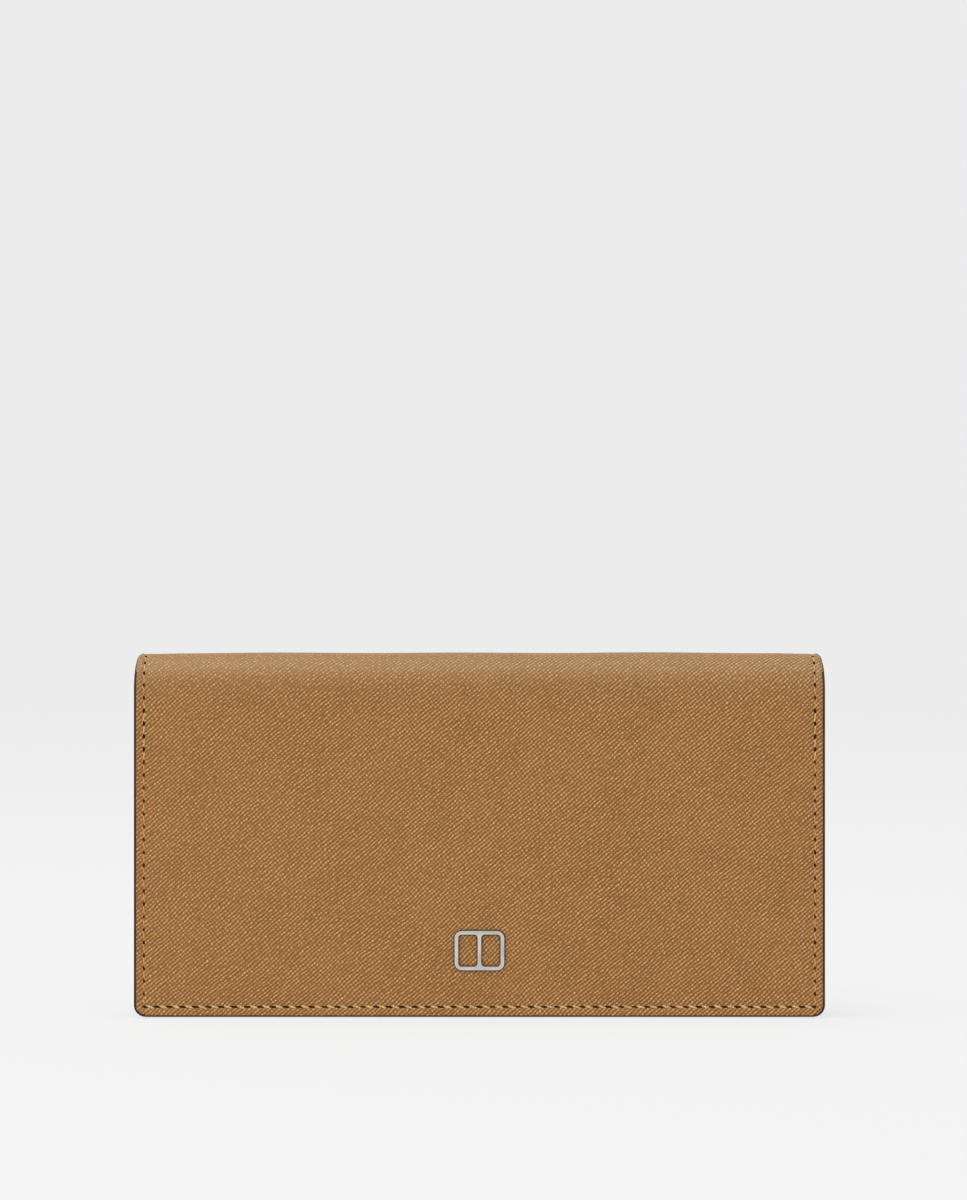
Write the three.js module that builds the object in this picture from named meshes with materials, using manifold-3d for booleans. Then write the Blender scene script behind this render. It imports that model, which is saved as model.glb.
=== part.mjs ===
// Long wallet: a crosshatch leather cover folded over the top, a magnetic snap, a block of card
// slots, two gusseted note pockets and a zipped coin pocket between them.
// Millimetres. +X is the wearer's right, +Y the back of the wallet, +Z up. It stands closed on its
// lower edge, and the origin is at the middle of that edge, centred in width and depth.
import * as THREE from 'three';
import { mergeVertices } from 'three/addons/utils/BufferGeometryUtils.js';
import Module from 'manifold-3d';

const wasm = await Module();
wasm.setup();

// ---------------------------------------------------------------- driving dimensions
const width = 188; // the cover, side to side
const height = 99; // closed, from the lower edge to the crown of the fold
const cornerRadius = 2.5; // lower corners of the cover

const coverLeather = 1.2;
const boardThickness = 0.8;
const liningThickness = 0.5;
const slotLeather = 0.4;
const gussetLeather = 0.45;
const dividerThickness = 0.7; // each wall of the coin pocket
const backingThickness = 0.6; // the sheet behind the card slots
const glueGap = 0.1; // between two sheets that are glued or stitched together
const seamMargin = 3.6; // the boards stop short of the stitched edge by this much
const pocketInset = 3; // the pockets are narrower than the cover at each side
const billGap = 1.6; // each note pocket, empty
const flapLift = 0.3; // the flap hangs this far above what the wallet stands on

const foldCount = 4; // bends that share the half turn over the top
const foldGap = 0.25; // between two neighbouring lengths of the folded leather
const pocketDrop = 5.5; // the card block ends this far below the centre of the fold
const coinDrop = 5.8; // the coin pocket ends this far below the card block
const gussetDrop = 4; // the side gussets end this far below the coin pocket's top edge
const gussetDepth = 8.5; // how far a gusset tucks in from the side
const gussetFit = 0.15; // between a gusset and the panels either side of it
const floorFold = 1; // height of the fold that closes a note pocket at the bottom

const cardSlots = 4;
const flapSlots = 3;
const slotStep = 10; // from one slot's edge to the next
const flapSlotBottom = 30;
const flapSlotDrop = 8; // the flap's highest slot edge, below the top of the card block

const snapHeight = 18.4; // centre of the snap and of the emblem above the lower edge
const snapRadius = 7;
const snapDepth = 1.8; // the socket half
const snapWall = 0.35; // sheet metal of the socket
const snapHole = 3.4;
const snapPlate = 0.8; // the stud half's plate
const snapPlateRadius = 6.5;
const snapPin = 3; // the stud's radius
const snapFit = 0.2; // between the two halves, face to face
const pinFit = 0.25; // between the end of the stud and the floor of the socket
const magnetFit = 0.1;
const legWidth = 2.2;
const legThickness = 0.5;
const legSpread = 4; // each leg from the snap's centre
const legFit = 0.3;
const legShort = 0.05; // between a leg's end and what lies beyond it
const washerFit = 0.1; // a washer's hole about an emblem post
const washerThickness = 0.35;
const washerRadius = 6;
const washerHole = 2;

const emblemWidth = 14;
const emblemHeight = 11.2;
const emblemBar = 1.5;
const emblemProud = 0.9;
const emblemCorner = 2.2;
const postRadius = 0.5;
const postFit = 0.3;
const postWasherRadius = 1.4;
const windowMargin = 0.4; // round the hardware that sits in the flap board's window

const tapeThickness = 0.4;
const tapeHeight = 11;
const coilWidth = 0.9;
const coilHeight = 1.2;
const coilSlot = 1; // the slider's neck runs in it
const coinLining = 0.3;
const zipMargin = 6; // the tapes stop this far from the sides of the pocket
const coilMargin = 4; // the coils stop this far inside the tapes
const stopLength = 1.6;
const stopHeight = 0.5;
const tabLength = 7; // leather tab over each end of the zip

const sliderLength = 9;
const sliderWidth = 5.2;
const sliderPlate = 0.9;
const sliderNeck = 0.6;
const sliderFoot = 2.4;
const sliderFit = 0.3; // above and below the coils
const bailLength = 4.4;
const bailWidth = 1.4;
const bailBar = 0.8;
const bailOpening = 1.5;
const pullLength = 12;
const pullWidth = 4.4;
const pullBar = 0.9;
const pullFit = 0.4; // between the pull's loop and the bail

// ---------------------------------------------------------------- sizes that follow from them
const coverStack = coverLeather + glueGap + boardThickness + glueGap + liningThickness;
const slotPitch = slotLeather + glueGap;
const snapRoom = Math.max(snapDepth + snapPlate + snapFit, flapSlots * slotPitch + 0.6);
const zipRoom = 2 * (tapeThickness + coilWidth) + coilSlot;
const coinPocketDepth = zipRoom + 2 * dividerThickness;
const cardBlockDepth = backingThickness + cardSlots * slotPitch;
const thickness = 2 * coverStack + 2 * billGap + coinPocketDepth + cardBlockDepth + snapRoom;

// Small clearances and insets.
const liningInset = 0.3; // the lining's edge from the cover's
const gussetInset = 0.2; // a gusset from the pocket's edge
const gussetRise = 0.5; // a gusset's foot above the pocket's floor
const tabGap = 0.3; // an end tab from the coil
const tabDrop = 3;
const tabProud = 0.4; // an end tab above the coil
const stopRoom = 1.5; // the slider from the stops
const neckInset = 0.6;
const footInset = 0.4;
const bailStep = 0.01; // keeps the bail's opening just off the plate
const pullCorner = 0.4;

// Planes of the stack, from the back of the wallet to the front.
const backFace = (thickness + emblemProud) / 2;
const frontFace = backFace - thickness;
const backLiningFace = backFace - coverStack;
const coinRear = backLiningFace - billGap;
const coinFront = coinRear - coinPocketDepth;
const backingRear = coinFront - billGap;
const slotStackRear = backingRear - backingThickness;
const cardFront = slotStackRear - cardSlots * slotPitch;
const flapLiningFace = cardFront - snapRoom;
const zipMiddle = (coinRear + coinFront) / 2;

// The fold is half a turn about an axis along X.
const foldRadius = thickness / 2;
const foldY = (backFace + frontFace) / 2;
const foldZ = height - foldRadius;
const bend = Math.PI / foldCount;

// Heights.
const pocketTop = foldZ - pocketDrop;
const coinTop = pocketTop - coinDrop;
const gussetTop = coinTop - gussetDrop;
const coilBottom = coinTop;
const coilTop = coilBottom + coilHeight;

// Widths.
const pocketHalf = width / 2 - pocketInset;
const tapeHalf = pocketHalf - zipMargin;
const coilHalf = tapeHalf - coilMargin;
const travelHalf = coilHalf - stopLength - sliderLength / 2 - stopRoom;

// ---------------------------------------------------------------- materials
function finish(color, roughness, metalness = 0) {
  return new THREE.MeshStandardMaterial({ color, roughness, metalness });
}
const crosshatch = finish(0xa0733f, 0.55);
const slotHide = finish(0xa87a48, 0.6);
const board = finish(0x8f7d66, 0.9);
const twill = finish(0xb99a74, 0.85);
const tape = finish(0x9a6f40, 0.85);
const coil = finish(0xb58850, 0.5);
const nickel = finish(0xcfcac4, 0.25, 1);
const magnetic = finish(0x55565a, 0.5, 1);

// ---------------------------------------------------------------- solids
const wallet = new THREE.Group();

function add(name, geometry, material, parent = wallet) {
  const mesh = new THREE.Mesh(geometry, material);
  mesh.name = name;
  parent.add(mesh);
  return mesh;
}

// A closed geometry as a manifold-3d solid, and back.
function toSolid(geometry) {
  const bare = geometry.clone();
  bare.deleteAttribute('normal');
  bare.deleteAttribute('uv');
  const merged = mergeVertices(bare, 1e-4);
  return new wasm.Manifold(new wasm.Mesh({
    numProp: 3,
    vertProperties: new Float32Array(merged.attributes.position.array),
    triVerts: new Uint32Array(merged.index.array),
  }));
}

function toGeometry(solid) {
  const mesh = solid.getMesh();
  const geometry = new THREE.BufferGeometry();
  geometry.setAttribute('position', new THREE.BufferAttribute(mesh.vertProperties, 3));
  geometry.setIndex(new THREE.BufferAttribute(mesh.triVerts, 1));
  geometry.computeVertexNormals();
  return geometry;
}

function cut(geometry, ...tools) {
  return toGeometry(tools.reduce((solid, tool) => solid.subtract(toSolid(tool)), toSolid(geometry)));
}

function join(...geometries) {
  const [first, ...rest] = geometries.map(toSolid);
  return toGeometry(rest.reduce((solid, next) => solid.add(next), first));
}

function common(a, b) {
  return toGeometry(toSolid(a).intersect(toSolid(b)));
}

function box([x0, x1], [y0, y1], [z0, z1]) {
  const geometry = new THREE.BoxGeometry(x1 - x0, y1 - y0, z1 - z0);
  return geometry.translate((x0 + x1) / 2, (y0 + y1) / 2, (z0 + z1) / 2);
}

// A rounded rectangle from (x0, z0) to (x1, z1); the lower and upper corners have their own radius.
function outline(x0, x1, z0, z1, lower, upper = lower) {
  const shape = new THREE.Shape();
  shape.moveTo(x0 + lower, z0);
  shape.lineTo(x1 - lower, z0);
  shape.absarc(x1 - lower, z0 + lower, lower, -Math.PI / 2, 0, false);
  shape.lineTo(x1, z1 - upper);
  shape.absarc(x1 - upper, z1 - upper, upper, 0, Math.PI / 2, false);
  shape.lineTo(x0 + upper, z1);
  shape.absarc(x0 + upper, z1 - upper, upper, Math.PI / 2, Math.PI, false);
  shape.lineTo(x0, z0 + lower);
  shape.absarc(x0 + lower, z0 + lower, lower, Math.PI, 1.5 * Math.PI, false);
  return shape;
}

// A shape drawn in X and Z, made thick from its rear plane towards the front of the wallet.
function sheet(shape, rear, thick) {
  const geometry = new THREE.ExtrudeGeometry(shape, {
    depth: thick, bevelEnabled: false, curveSegments: 5,
  });
  return geometry.rotateX(Math.PI / 2).translate(0, rear, 0);
}

// A shape drawn in Y and Z, run across the wallet from x0 to x1.
function across(shape, x0, x1) {
  const geometry = new THREE.ExtrudeGeometry(shape, {
    depth: x1 - x0, bevelEnabled: false, curveSegments: 8,
  });
  const basis = new THREE.Matrix4().makeBasis(
    new THREE.Vector3(0, 1, 0), new THREE.Vector3(0, 0, 1), new THREE.Vector3(1, 0, 0));
  return geometry.applyMatrix4(basis).translate(x0, 0, 0);
}

// A plain panel of the pocket block.
function panel(half, z0, z1, rear, thick, corner = 1) {
  return sheet(outline(-half, half, z0, z1, corner), rear, thick);
}

// A disc or ring about the snap's axis, from its rear plane towards the front.
function disc(radius, rear, thick, hole = 0, x = 0) {
  const shape = new THREE.Shape();
  shape.absarc(x, snapHeight, radius, 0, 2 * Math.PI, false);
  if (hole) {
    const inner = new THREE.Path();
    inner.absarc(x, snapHeight, hole, 0, 2 * Math.PI, true);
    shape.holes.push(inner);
  }
  const geometry = new THREE.ExtrudeGeometry(shape, {
    depth: thick, bevelEnabled: false, curveSegments: 16,
  });
  return geometry.rotateX(Math.PI / 2).translate(0, rear, 0);
}

// ---------------------------------------------------------------- the folded leather
// Angles about the fold's axis run from 0 at the back, over the crown, to half a turn at the front.
function arcSheet(depth, thick, from, to) {
  const outer = foldRadius - depth;
  const shape = new THREE.Shape();
  shape.absarc(foldY, foldZ, outer, from, to, false);
  shape.absarc(foldY, foldZ, outer - thick, to, from, true);
  shape.closePath();
  return across(shape, -width / 2, width / 2);
}

// A cover panel and the start of the fold above it. side is 1 at the back and -1 at the front.
function foldedPanel(side, depth, thick, bottom, half) {
  const outer = foldRadius - depth;
  const inner = outer - thick;
  const reach = bend / 2 - foldGap / 2 / foldRadius;
  const shape = new THREE.Shape();
  shape.moveTo(foldY + side * outer, bottom);
  shape.lineTo(foldY + side * outer, foldZ);
  if (side > 0) {
    shape.absarc(foldY, foldZ, outer, 0, reach, false);
    shape.absarc(foldY, foldZ, inner, reach, 0, true);
  } else {
    shape.absarc(foldY, foldZ, outer, Math.PI, Math.PI - reach, true);
    shape.absarc(foldY, foldZ, inner, Math.PI - reach, Math.PI, false);
  }
  shape.lineTo(foldY + side * inner, bottom);
  shape.closePath();
  const slab = across(shape, -half, half);
  const face = sheet(outline(-half, half, bottom, height, cornerRadius, 0.5), backFace + 1, thickness + 2);
  return common(slab, face);
}

const liningDepth = coverStack - liningThickness;
const liningHalf = width / 2 - liningInset;

function buildSpine() {
  for (let i = 1; i < foldCount; i += 1) {
    const from = (i - 0.5) * bend + foldGap / 2 / foldRadius;
    const to = (i + 0.5) * bend - foldGap / 2 / foldRadius;
    add(`spine_cover_${i}`, arcSheet(0, coverLeather, from, to), crosshatch);
    add(`spine_lining_${i}`, arcSheet(liningDepth, liningThickness, from, to), slotHide);
  }
}

// ---------------------------------------------------------------- back of the wallet
function buildBack() {
  add('back_cover', foldedPanel(1, 0, coverLeather, 0, width / 2), crosshatch);
  add('back_lining', foldedPanel(1, liningDepth, liningThickness, 0, liningHalf), slotHide);
  const boardRear = backFace - coverLeather - glueGap;
  const boardHalf = width / 2 - seamMargin;
  add('back_board', panel(boardHalf, seamMargin, foldZ, boardRear, boardThickness), board);
}

// ---------------------------------------------------------------- note pockets
// Each note pocket has a fold along the bottom and a tucked gusset at either side.
function pocketFloor(rear) {
  const front = rear - billGap;
  return box([-pocketHalf, pocketHalf], [front + gussetFit, rear - gussetFit], [0, floorFold]);
}

function gusset(rear, side) {
  const rearLeaf = rear - gussetFit;
  const frontLeaf = rear - billGap + gussetFit;
  const outer = side * (pocketHalf - gussetInset);
  const inner = outer - side * gussetDepth;
  const foldInside = inner + side * gussetLeather;
  const shape = new THREE.Shape();
  shape.moveTo(outer, rearLeaf);
  shape.lineTo(inner, rearLeaf);
  shape.lineTo(inner, frontLeaf);
  shape.lineTo(outer, frontLeaf);
  shape.lineTo(outer, frontLeaf + gussetLeather);
  shape.lineTo(foldInside, frontLeaf + gussetLeather);
  shape.lineTo(foldInside, rearLeaf - gussetLeather);
  shape.lineTo(outer, rearLeaf - gussetLeather);
  shape.closePath();
  const bottom = floorFold + gussetRise;
  const geometry = new THREE.ExtrudeGeometry(shape, { depth: gussetTop - bottom, bevelEnabled: false });
  return geometry.translate(0, 0, bottom);
}

function buildNotePockets() {
  for (const [place, rear] of [['rear', backLiningFace], ['front', coinFront]]) {
    add(`${place}_pocket_floor`, pocketFloor(rear), twill);
    add(`${place}_gusset_left`, gusset(rear, -1), slotHide);
    add(`${place}_gusset_right`, gusset(rear, 1), slotHide);
  }
}

// ---------------------------------------------------------------- coin pocket and its zip
function buildCoinPocket() {
  add('coin_panel_rear', panel(pocketHalf, 0, coinTop, coinRear, dividerThickness), twill);
  add('coin_panel_front', panel(pocketHalf, 0, coinTop, coinFront + dividerThickness, dividerThickness),
    twill);

  const wall = zipRoom / 2 - tapeThickness - glueGap; // the lining hangs inside the tapes
  const top = coinTop + coilHeight - tapeHeight - glueGap;
  const bottom = floorFold;
  const bag = new THREE.Shape();
  bag.moveTo(zipMiddle - wall, bottom);
  bag.lineTo(zipMiddle + wall, bottom);
  bag.lineTo(zipMiddle + wall, top);
  bag.lineTo(zipMiddle + wall - coinLining, top);
  bag.lineTo(zipMiddle + wall - coinLining, bottom + coinLining);
  bag.lineTo(zipMiddle - wall + coinLining, bottom + coinLining);
  bag.lineTo(zipMiddle - wall + coinLining, top);
  bag.lineTo(zipMiddle - wall, top);
  bag.closePath();
  add('coin_lining', across(bag, -tapeHalf, tapeHalf), twill);
}

function buildZip() {
  for (const [place, side] of [['rear', 1], ['front', -1]]) {
    const tapeOuter = zipMiddle + side * zipRoom / 2;
    const tapeInner = tapeOuter - side * tapeThickness;
    const coilInner = tapeInner - side * coilWidth;
    const tapeSpan = [Math.min(tapeOuter, tapeInner), Math.max(tapeOuter, tapeInner)];
    const coilSpan = [Math.min(tapeInner, coilInner), Math.max(tapeInner, coilInner)];
    add(`zip_tape_${place}`, box([-tapeHalf, tapeHalf], tapeSpan, [coilTop - tapeHeight, coilTop]), tape);
    add(`zip_coil_${place}`, box([-coilHalf, coilHalf], coilSpan, [coilBottom, coilTop]), coil);
  }
  for (const [place, side] of [['left', -1], ['right', 1]]) {
    const stopOuter = side * coilHalf;
    const stopInner = stopOuter - side * stopLength;
    const stopSpan = [Math.min(stopOuter, stopInner), Math.max(stopOuter, stopInner)];
    const reach = zipRoom / 2 - tapeThickness;
    add(`zip_stop_${place}`,
      box(stopSpan, [zipMiddle - reach, zipMiddle + reach], [coilTop, coilTop + stopHeight]), nickel);
    const tabInner = side * (coilHalf + tabGap);
    const tabOuter = tabInner + side * tabLength;
    const tabSpan = [Math.min(tabInner, tabOuter), Math.max(tabInner, tabOuter)];
    const gap = coilSlot / 2 + coilWidth - glueGap;
    add(`zip_tab_${place}`,
      box(tabSpan, [zipMiddle - gap, zipMiddle + gap], [coilBottom - tabDrop, coilTop + tabProud]), slotHide);
  }
}

// ---------------------------------------------------------------- slider and pull
// Both are drawn round the slider's own origin, on the coils' top, and then set at the closed end.
function sliderGeometry() {
  const plateBottom = sliderFit;
  const plateTop = plateBottom + sliderPlate;
  const footTop = -coilHeight - sliderFit;
  const plan = outline(-sliderLength / 2, sliderLength / 2, -sliderWidth / 2, sliderWidth / 2, 1.6);
  const plate = new THREE.ExtrudeGeometry(plan, {
    depth: sliderPlate, bevelEnabled: false, curveSegments: 5,
  });
  plate.translate(0, 0, plateBottom);
  const overlap = 0.2; // so that the joined pieces share some metal
  const neck = box([-sliderLength / 2 + neckInset, 0], [-sliderNeck / 2, sliderNeck / 2],
    [footTop - overlap, plateBottom + overlap]);
  const foot = box(
    [footInset - sliderLength / 2, sliderLength / 2 - 2 * footInset], [-sliderFoot / 2, sliderFoot / 2],
    [footTop - sliderPlate, footTop]);
  const bailTop = plateTop + bailOpening + bailBar;
  const bail = cut(
    box([-bailLength / 2, bailLength / 2], [-bailWidth / 2, bailWidth / 2], [plateTop - overlap, bailTop]),
    box([-bailLength / 2 + bailBar, bailLength / 2 - bailBar], [-bailWidth, bailWidth],
      [plateTop + bailStep, plateTop + bailOpening]));
  return join(plate, neck, foot, bail);
}

function pullGeometry() {
  const loopInner = bailWidth / 2 + pullFit;
  const loopReach = bailLength / 2 + pullBar + pullFit; // the loop clears the end of the bail
  const plan = outline(-pullBar / 2, pullLength, -pullWidth / 2, pullWidth / 2, pullCorner, pullCorner);
  const hole = new THREE.Path();
  hole.moveTo(pullBar / 2, -loopInner);
  hole.lineTo(pullBar / 2, loopInner);
  hole.lineTo(loopReach, loopInner);
  hole.lineTo(loopReach, -loopInner);
  hole.closePath();
  plan.holes.push(hole);
  const geometry = new THREE.ExtrudeGeometry(plan, { depth: pullBar, bevelEnabled: false, curveSegments: 4 });
  return geometry.translate(0, 0, -pullBar / 2);
}

function buildSlider() {
  const place = new THREE.Group();
  place.position.set(-travelHalf, zipMiddle, coilTop);
  wallet.add(place);
  add('zip_slider', sliderGeometry(), nickel, place);
  const pull = add('zip_pull', pullGeometry(), nickel, place);
  pull.position.z = sliderFit + sliderPlate + bailOpening / 2;
}

// ---------------------------------------------------------------- card block
function leg(x, rear, front) {
  return box([x - legThickness / 2, x + legThickness / 2], [front, rear],
    [snapHeight - legWidth / 2, snapHeight + legWidth / 2]);
}

function legHoles(rear, front) {
  return [-legSpread, legSpread].map((x) => box(
    [x - legThickness / 2 - legFit, x + legThickness / 2 + legFit], [front - 1, rear + 1],
    [snapHeight - legWidth / 2 - legFit, snapHeight + legWidth / 2 + legFit]));
}

function buildCardBlock() {
  add('card_backing', panel(pocketHalf, 0, pocketTop, backingRear, backingThickness), twill);
  for (let i = 1; i <= cardSlots; i += 1) {
    const rear = slotStackRear - (i - 1) * slotPitch - glueGap;
    const front = rear - slotLeather;
    const whole = panel(pocketHalf, 0, pocketTop - i * slotStep, rear, slotLeather);
    const tools = i === 1
      ? [disc(washerRadius + legFit, rear + 1, slotLeather + 2)]
      : legHoles(rear, front);
    add(`card_slot_${i}`, cut(whole, ...tools), slotHide);
  }
  const washerRear = slotStackRear - glueGap;
  const washer = disc(washerRadius, washerRear, washerThickness, washerHole);
  add('snap_socket_washer', cut(washer, ...legHoles(washerRear, washerRear - washerThickness)), nickel);
}

// The socket half faces forwards from the front of the card block.
function buildSnapSocket() {
  const profile = [
    [0, 0], [snapRadius, 0], [snapRadius, snapDepth], [snapHole, snapDepth],
    [snapHole, snapDepth - snapWall], [snapRadius - snapWall, snapDepth - snapWall],
    [snapRadius - snapWall, snapWall], [0, snapWall],
  ].map(([r, h]) => new THREE.Vector2(r, h));
  const cup = new THREE.LatheGeometry(profile, 32).rotateX(Math.PI);
  cup.translate(0, cardFront, snapHeight);
  const legRear = slotStackRear - glueGap - legShort;
  const legs = [-legSpread, legSpread].map((x) => leg(x, legRear, cardFront - snapWall / 2));
  add('snap_socket', join(cup, ...legs), nickel);

  const magnetRear = cardFront - snapWall - magnetFit;
  const magnetThickness = snapDepth - 2 * snapWall - 2 * magnetFit;
  const magnetRadius = snapRadius - snapWall - magnetFit;
  add('snap_magnet', disc(magnetRadius, magnetRear, magnetThickness, snapHole + magnetFit), magnetic);
}

// ---------------------------------------------------------------- flap
function buildFlap() {
  add('flap_cover', cut(
    foldedPanel(-1, 0, coverLeather, flapLift, width / 2),
    ...[-1, 1].map((side) => disc(postRadius + postFit, frontFace + coverLeather + 1, coverLeather + 2, 0,
      side * (emblemWidth - emblemBar) / 2))), crosshatch);

  const liningFront = frontFace + coverStack - liningThickness;
  add('flap_lining', cut(
    foldedPanel(-1, liningDepth, liningThickness, flapLift, liningHalf),
    ...legHoles(liningFront + liningThickness, liningFront)), slotHide);

  const boardFront = frontFace + coverLeather + glueGap;
  const windowHalf = Math.max(emblemWidth / 2 + postWasherRadius, washerRadius) + windowMargin;
  add('flap_board', cut(
    panel(width / 2 - seamMargin, flapLift + seamMargin, foldZ, boardFront + boardThickness, boardThickness),
    box([-windowHalf, windowHalf], [boardFront - 1, boardFront + boardThickness + 1],
      [snapHeight - windowHalf, snapHeight + windowHalf])), board);

  for (let i = 1; i <= flapSlots; i += 1) {
    const front = flapLiningFace + (i - 1) * slotPitch + glueGap;
    const top = pocketTop - flapSlotDrop - (i - 1) * slotStep;
    add(`flap_slot_${i}`, panel(pocketHalf, flapSlotBottom, top, front + slotLeather, slotLeather), slotHide);
  }
}

// The stud half faces backwards from the flap's lining.
function buildSnapStud() {
  const plate = disc(snapPlateRadius, flapLiningFace + snapPlate, snapPlate);
  const pinLength = snapFit + snapDepth - snapWall - pinFit;
  const pin = disc(snapPin, flapLiningFace + snapPlate + pinLength, pinLength + snapPlate / 2);
  const washerFront = flapLiningFace - liningThickness - glueGap / 2 - washerThickness;
  const legRear = flapLiningFace + snapPlate / 2;
  const legs = [-legSpread, legSpread].map((x) => leg(x, legRear, washerFront + legShort));
  add('snap_stud', join(plate, pin, ...legs), nickel);

  const washerRear = washerFront + washerThickness;
  const washer = disc(washerRadius, washerRear, washerThickness, washerHole);
  add('snap_stud_washer', cut(washer, ...legHoles(washerRear, washerFront)), nickel);
}

// A plain open frame with a bar across it, held by a post and a push-on washer at each side.
function buildEmblem() {
  const x = emblemWidth / 2;
  const z0 = snapHeight - emblemHeight / 2;
  const z1 = snapHeight + emblemHeight / 2;
  const plan = outline(-x, x, z0, z1, emblemCorner);
  const windowCorner = emblemCorner - emblemBar / 2;
  for (const side of [-1, 1]) {
    const near = side * emblemBar / 2;
    const far = side * (x - emblemBar);
    const window = outline(Math.min(near, far), Math.max(near, far), z0 + emblemBar, z1 - emblemBar,
      windowCorner);
    plan.holes.push(new THREE.Path(window.getPoints(4)));
  }
  const rear = frontFace;
  const frame = sheet(plan, rear, emblemProud);
  const postX = (emblemWidth - emblemBar) / 2;
  const postEnd = frontFace + coverLeather + glueGap / 2 + washerThickness;
  const posts = [-1, 1].map((side) => disc(postRadius, postEnd, postEnd - rear + emblemProud / 2, 0,
    side * postX));
  add('emblem', join(frame, ...posts), nickel);
  for (const [place, side] of [['left', -1], ['right', 1]]) {
    add(`emblem_washer_${place}`,
      disc(postWasherRadius, postEnd, washerThickness, postRadius + washerFit, side * postX), nickel);
  }
}

buildBack();
buildSpine();
buildNotePockets();
buildCoinPocket();
buildZip();
buildSlider();
buildCardBlock();
buildSnapSocket();
buildFlap();
buildSnapStud();
buildEmblem();

export default wallet;
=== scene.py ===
import math
import random

import bpy
import numpy as np
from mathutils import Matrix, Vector


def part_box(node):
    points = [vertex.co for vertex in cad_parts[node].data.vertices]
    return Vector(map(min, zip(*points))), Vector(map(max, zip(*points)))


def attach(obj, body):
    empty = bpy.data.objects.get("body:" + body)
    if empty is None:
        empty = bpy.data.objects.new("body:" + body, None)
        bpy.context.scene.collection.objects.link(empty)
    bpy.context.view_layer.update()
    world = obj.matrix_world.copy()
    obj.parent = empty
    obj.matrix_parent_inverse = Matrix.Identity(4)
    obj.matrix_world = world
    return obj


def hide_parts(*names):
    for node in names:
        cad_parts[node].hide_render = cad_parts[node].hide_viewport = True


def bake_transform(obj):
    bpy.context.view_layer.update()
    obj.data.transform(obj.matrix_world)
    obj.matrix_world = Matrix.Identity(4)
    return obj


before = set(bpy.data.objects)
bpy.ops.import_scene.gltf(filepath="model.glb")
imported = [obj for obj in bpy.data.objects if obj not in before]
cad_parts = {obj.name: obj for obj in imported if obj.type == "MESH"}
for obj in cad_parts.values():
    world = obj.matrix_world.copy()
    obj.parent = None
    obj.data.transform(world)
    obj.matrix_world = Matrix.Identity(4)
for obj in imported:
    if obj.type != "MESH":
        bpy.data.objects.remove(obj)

bl_info = {
    "name": "Long Wallet",
    "version": (1, 0, 0),
    "blender": (4, 5, 0),
    "location": "3D View > Sidebar > Wallet",
    "description": "Builds the visible pieces of a long flap wallet around its fixed frame",
    "category": "Object",
}

MM = 0.001

# A new file's own cube, light and camera are not part of the wallet.
for spare in ("Cube", "Light", "Camera"):
    if spare in bpy.data.objects:
        bpy.data.objects.remove(bpy.data.objects[spare])
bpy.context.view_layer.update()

# ------------------------------------------------------------------ places taken from the frame
COVER_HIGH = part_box("back_cover")[1]
FLAP_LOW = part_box("flap_cover")[0]
CROWN_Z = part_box("spine_cover_2")[1].z
HALF_WIDTH = COVER_HIGH.x
FOLD_RADIUS = (COVER_HIGH.y - FLAP_LOW.y) / 2
FOLD_Y = (COVER_HIGH.y + FLAP_LOW.y) / 2
FOLD_Z = CROWN_Z - FOLD_RADIUS
FOLD_LENGTH = math.pi * FOLD_RADIUS
FOLD_END = FOLD_Z + FOLD_LENGTH
SHEET_LENGTH = FOLD_Z + FOLD_LENGTH + FOLD_Z - FLAP_LOW.z
LINING_INNER = COVER_HIGH.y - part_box("rear_gusset_left")[1].y - 0.15 * MM
SNAP_LOW, SNAP_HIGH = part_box("snap_socket")
SNAP_Z = (SNAP_LOW.z + SNAP_HIGH.z) / 2

# The cover crosses four hinges. It is laid in four lengths, each listed with a name, two bodies
# beside it and the turns of the fold where it starts and ends. The lengths meet in the middle of a
# body.
QUARTER = math.pi / 4
LENGTHS = (
    ("back", "back", "spine_1", 0.0, QUARTER),
    ("fold_rear", "spine_1", "spine_2", QUARTER, 2 * QUARTER),
    ("fold_front", "spine_2", "spine_3", 2 * QUARTER, 3 * QUARTER),
    ("flap", "spine_3", "flap", 3 * QUARTER, 4 * QUARTER),
)


# ------------------------------------------------------------------ settings
def length(name, description, default):
    return bpy.props.FloatProperty(
        name=name, description=description, default=default, min=0.0, unit="LENGTH", precision=5
    )


def colour(name, description, default):
    return bpy.props.FloatVectorProperty(
        name=name, description=description, default=default, size=4, subtype="COLOR", min=0, max=1
    )


class WalletLeather(bpy.types.PropertyGroup):
    thickness: length("Cover thickness", "Leather of the cover", 1.2 * MM)
    lining: length("Lining thickness", "Leather inside the cover", 0.5 * MM)
    corner: length("Corner radius", "Lower corners of the cover", 3.2 * MM)
    bevel: length("Edge rounding", "Rounding of the cut edges", 0.15 * MM)
    painted: length("Painted edge", "How far the edge paint wraps over", 0.60 * MM)
    main_pitch: length("Ridge pitch", "Spacing of the stronger ridges", 0.88 * MM)
    cross_pitch: length("Cross pitch", "Spacing of the ridges that cross them", 0.93 * MM)
    valley: colour("Valley", "Leather between the ridges", (0.208, 0.078, 0.006, 1))
    ridge: colour("Ridge", "Leather on the ridges", (0.505, 0.224, 0.050, 1))
    # The glint colour is a painted highlight: bright beads on the ridge tips standing in for the
    # lamps' sparkle.
    glint: colour("Glint", "Painted highlights on the tips where ridges cross", (0.85, 0.58, 0.30, 1))
    # The fold tone is a painted sheen: a grey tone over the crown in place of light glancing off
    # it.
    dust: colour("Fold tone", "Painted sheen where the leather turns over the fold", (0.13, 0.20, 0.12, 1))
    inside: colour("Inside leather", "Smooth leather of slots and lining", (0.40, 0.20, 0.078, 1))
    paint: colour("Edge paint", "Paint on the cut edges", (0.036, 0.017, 0.010, 1))


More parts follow.
